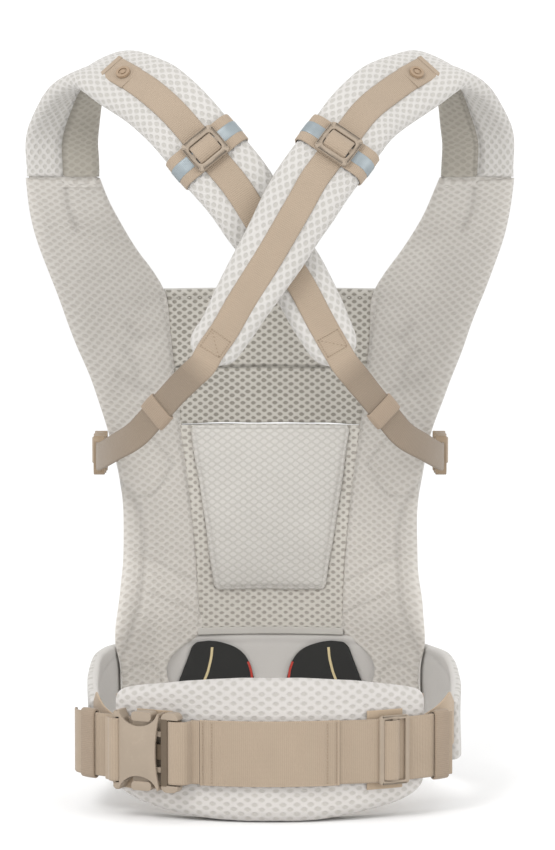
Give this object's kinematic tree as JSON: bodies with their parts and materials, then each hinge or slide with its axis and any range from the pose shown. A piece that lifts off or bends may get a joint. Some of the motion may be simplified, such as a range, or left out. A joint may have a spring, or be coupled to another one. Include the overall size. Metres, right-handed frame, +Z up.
{
  "type": "soft baby carrier",
  "caption": "Soft baby carrier with a mesh body panel, folding head support, padded straps crossed at the back, a lumbar pad on a waist belt and side-release buckles.",
  "frame": {"origin": "on the ground under the middle of the carrier's bounding box", "axes": "+Z up along the wearer's body, +Y from the wearer's back towards the baby's panel, +X to the right as seen from behind the wearer"},
  "size_m": [0.3948, 0.2704, 0.5979],
  "materials": {
    "mesh_fabric": "three-dimensional polyester mesh, matt",
    "smooth_fabric": "plain woven, matt",
    "mesh_lining": "open mesh lining, matt",
    "webbing": "woven polyester webbing",
    "tan_backing": "plain woven, matt",
    "buckle_plastic": "fine-grained moulded acetal",
    "snap": "moulded, satin",
    "black_fabric": "brushed, matt",
    "reflective": "retroreflective tape, satin"
  },
  "bodies": {
    "carrier": {"mesh_seat_liner": "mesh_lining", "padded_seat_panel": "mesh_fabric", "outer_panel": "mesh_fabric", "neck_panel": "mesh_lining", "left_side_panel": "mesh_fabric", "right_side_panel": "mesh_fabric", "left_side_buckle_socket": "buckle_plastic", "right_side_buckle_socket": "buckle_plastic", "left_side_buckle_loop": "webbing", "right_side_buckle_loop": "webbing", "waist_belt": "smooth_fabric", "left_seat_width_patch": "black_fabric", "right_seat_width_patch": "black_fabric", "left_belt_wing": "smooth_fabric", "right_belt_wing": "smooth_fabric", "left_panel_skirt": "mesh_fabric", "right_panel_skirt": "mesh_fabric", "left_gusset": "tan_backing", "right_gusset": "tan_backing", "lumbar_pad": "mesh_fabric", "lumbar_backing": "tan_backing", "lumbar_channel": "webbing", "lumbar_end_loops": "webbing", "front_waist_webbing": "webbing", "waist_buckle_plug": "buckle_plastic"},
    "head_support": {"head_support": "mesh_lining"},
    "left_strap": {"left_shoulder_pad": "mesh_fabric", "left_strap_webbing": "webbing", "left_snap_tab": "webbing", "left_snap": "snap", "right_side_buckle_plug": "buckle_plastic"},
    "right_strap": {"right_shoulder_pad": "mesh_fabric", "right_strap_webbing": "webbing", "right_snap_tab": "webbing", "right_snap": "snap", "left_side_buckle_plug": "buckle_plastic"},
    "waist_socket_side": {"waist_buckle_socket": "buckle_plastic", "left_waist_webbing": "webbing"},
    "waist_triglide": {"waist_triglide": "buckle_plastic"},
    "right_waist_keeper": {"right_waist_keeper": "webbing"},
    "left_waist_keeper": {"left_waist_keeper": "webbing"},
    "left_chest_slider": {"left_chest_slider": "buckle_plastic", "left_slider_band": "webbing", "left_reflective_stripe": "reflective"},
    "left_tail_keeper": {"left_tail_keeper": "webbing"},
    "right_chest_slider": {"right_chest_slider": "buckle_plastic", "right_slider_band": "webbing", "right_reflective_stripe": "reflective"},
    "right_tail_keeper": {"right_tail_keeper": "webbing"},
    "waist_buckle_upper_prong": {"waist_buckle_upper_prong": "buckle_plastic"},
    "waist_buckle_lower_prong": {"waist_buckle_lower_prong": "buckle_plastic"},
    "left_side_buckle_upper_prong": {"left_side_buckle_upper_prong": "buckle_plastic"},
    "left_side_buckle_lower_prong": {"left_side_buckle_lower_prong": "buckle_plastic"},
    "right_side_buckle_upper_prong": {"right_side_buckle_upper_prong": "buckle_plastic"},
    "right_side_buckle_lower_prong": {"right_side_buckle_lower_prong": "buckle_plastic"}
  },
  "joints": [
    {"name": "head_support_fold", "type": "hinge", "parent": "carrier", "child": "head_support", "pos_m": [0, 0.1354, 0.33575], "axis": [-1, 0, 0], "range_deg": [0, 150]},
    {"name": "right_strap_swing", "type": "hinge", "parent": "carrier", "child": "right_strap", "pos_m": [0.167, 0.0463, 0.495], "axis": [-1, 0, 0], "range_deg": [0, 70], "deforming": ["left_side_buckle_upper_prong", "left_side_buckle_lower_prong"]},
    {"name": "left_strap_swing", "type": "hinge", "parent": "carrier", "child": "left_strap", "pos_m": [-0.167, 0.0463, 0.495], "axis": [-1, 0, 0], "range_deg": [0, 70], "deforming": ["right_side_buckle_upper_prong", "right_side_buckle_lower_prong"]},
    {"name": "left_chest_slider_slide", "type": "slide", "parent": "left_strap", "child": "left_chest_slider", "axis": [0.6281, -0.2617, -0.7328], "range_m": [-0.009, 0.009]},
    {"name": "left_tail_keeper_slide", "type": "slide", "parent": "left_strap", "child": "left_tail_keeper", "axis": [0.5863, 0.3314, -0.7392], "range_m": [-0.006, 0.006]},
    {"name": "right_chest_slider_slide", "type": "slide", "parent": "right_strap", "child": "right_chest_slider", "axis": [-0.5567, -0.4049, -0.7254], "range_m": [-0.009, 0.009]},
    {"name": "right_tail_keeper_slide", "type": "slide", "parent": "right_strap", "child": "right_tail_keeper", "axis": [-0.5909, 0.4254, -0.6854], "range_m": [-0.006, 0.006]},
    {"name": "waist_buckle_release", "type": "slide", "parent": "carrier", "child": "waist_socket_side", "axis": [-0.9056, 0.4242, 0], "range_m": [0, 0.026], "deforming": ["waist_buckle_upper_prong", "waist_buckle_lower_prong", "left_waist_webbing"]},
    {"name": "triglide_slide", "type": "slide", "parent": "carrier", "child": "waist_triglide", "axis": [0.898, 0.4399, 0], "range_m": [-0.01, 0.01]},
    {"name": "right_waist_keeper_slide", "type": "slide", "parent": "carrier", "child": "right_waist_keeper", "axis": [0.7907, 0.6122, 0], "range_m": [-0.004, 0.004]},
    {"name": "left_waist_keeper_slide", "type": "slide", "parent": "waist_socket_side", "child": "left_waist_keeper", "axis": [0.7604, -0.6494, 0], "range_m": [-0.004, 0.004]},
    {"name": "waist_buckle_upper_prong_press", "type": "hinge", "parent": "carrier", "child": "waist_buckle_upper_prong", "pos_m": [-0.08224, -0.12274, 0.0675], "axis": [-0.4242, -0.9056, 0], "range_deg": [0, 6], "stiffness_Nm_per_rad": 0.05},
    {"name": "waist_buckle_lower_prong_press", "type": "hinge", "parent": "carrier", "child": "waist_buckle_lower_prong", "pos_m": [-0.08224, -0.12274, 0.0435], "axis": [0.4242, 0.9056, 0], "range_deg": [0, 6], "stiffness_Nm_per_rad": 0.05},
    {"name": "left_side_buckle_upper_prong_press", "type": "hinge", "parent": "right_strap", "child": "left_side_buckle_upper_prong", "pos_m": [-0.138, 0.0376, 0.278], "axis": [-1, 0, 0], "range_deg": [0, 6], "stiffness_Nm_per_rad": 0.05},
    {"name": "left_side_buckle_lower_prong_press", "type": "hinge", "parent": "right_strap", "child": "left_side_buckle_lower_prong", "pos_m": [-0.138, 0.0376, 0.265], "axis": [1, 0, 0], "range_deg": [0, 6], "stiffness_Nm_per_rad": 0.05},
    {"name": "right_side_buckle_upper_prong_press", "type": "hinge", "parent": "left_strap", "child": "right_side_buckle_upper_prong", "pos_m": [0.138, 0.0376, 0.278], "axis": [-1, 0, 0], "range_deg": [0, 6], "stiffness_Nm_per_rad": 0.05},
    {"name": "right_side_buckle_lower_prong_press", "type": "hinge", "parent": "left_strap", "child": "right_side_buckle_lower_prong", "pos_m": [0.138, 0.0376, 0.265], "axis": [1, 0, 0], "range_deg": [0, 6], "stiffness_Nm_per_rad": 0.05}
  ],
  "couplings": [
    {"joint": "left_strap_swing", "follows": "right_strap_swing", "ratio": 1},
    {"joint": "waist_buckle_lower_prong_press", "follows": "waist_buckle_upper_prong_press", "ratio": 1},
    {"joint": "left_side_buckle_lower_prong_press", "follows": "left_side_buckle_upper_prong_press", "ratio": 1},
    {"joint": "right_side_buckle_lower_prong_press", "follows": "right_side_buckle_upper_prong_press", "ratio": 1}
  ]
}
